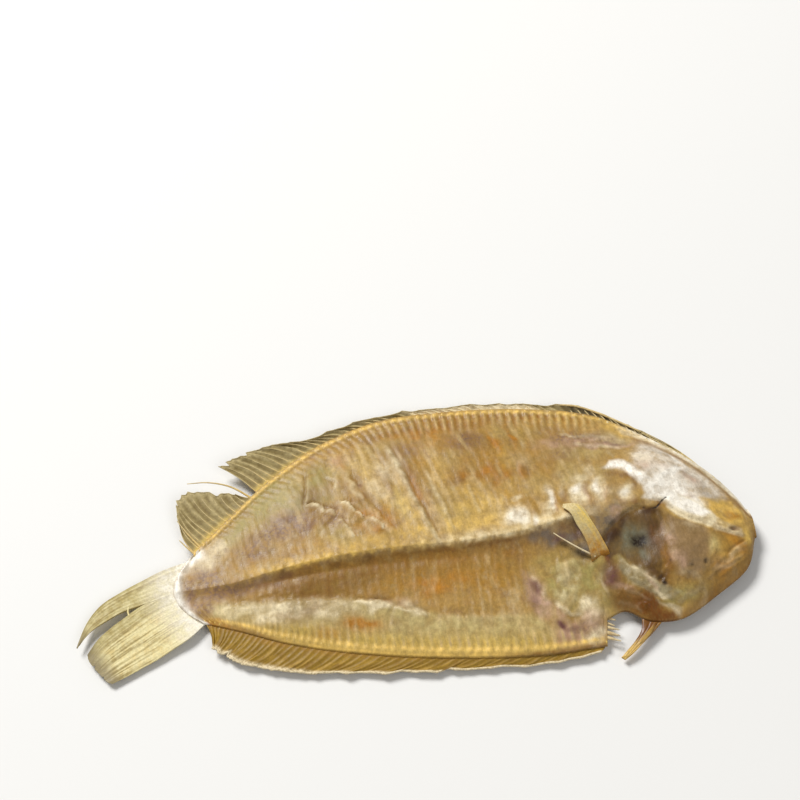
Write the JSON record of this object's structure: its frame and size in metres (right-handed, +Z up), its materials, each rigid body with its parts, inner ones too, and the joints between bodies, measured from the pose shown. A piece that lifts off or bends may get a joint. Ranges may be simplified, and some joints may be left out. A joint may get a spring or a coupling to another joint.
{
  "type": "dried flatfish",
  "caption": "Whole gutted flatfish dried stiff and flat, lying on its eyed side, with ribbed edges, a backbone ridge, torn back fin and split tail.",
  "frame": {"origin": "on the table, below the middle of the fish's outline, fins included", "axes": "+X towards the snout, +Y towards the back fin, +Z up out of the shown side"},
  "size_m": [0.2498, 0.1134, 0.0148],
  "materials": {
    "dried_skin": "golden tan dried skin, half gloss, with white bone at the head and tail root"
  },
  "bodies": {
    "root": {"dried_flatfish": "dried_skin"}
  },
  "joints": []
}
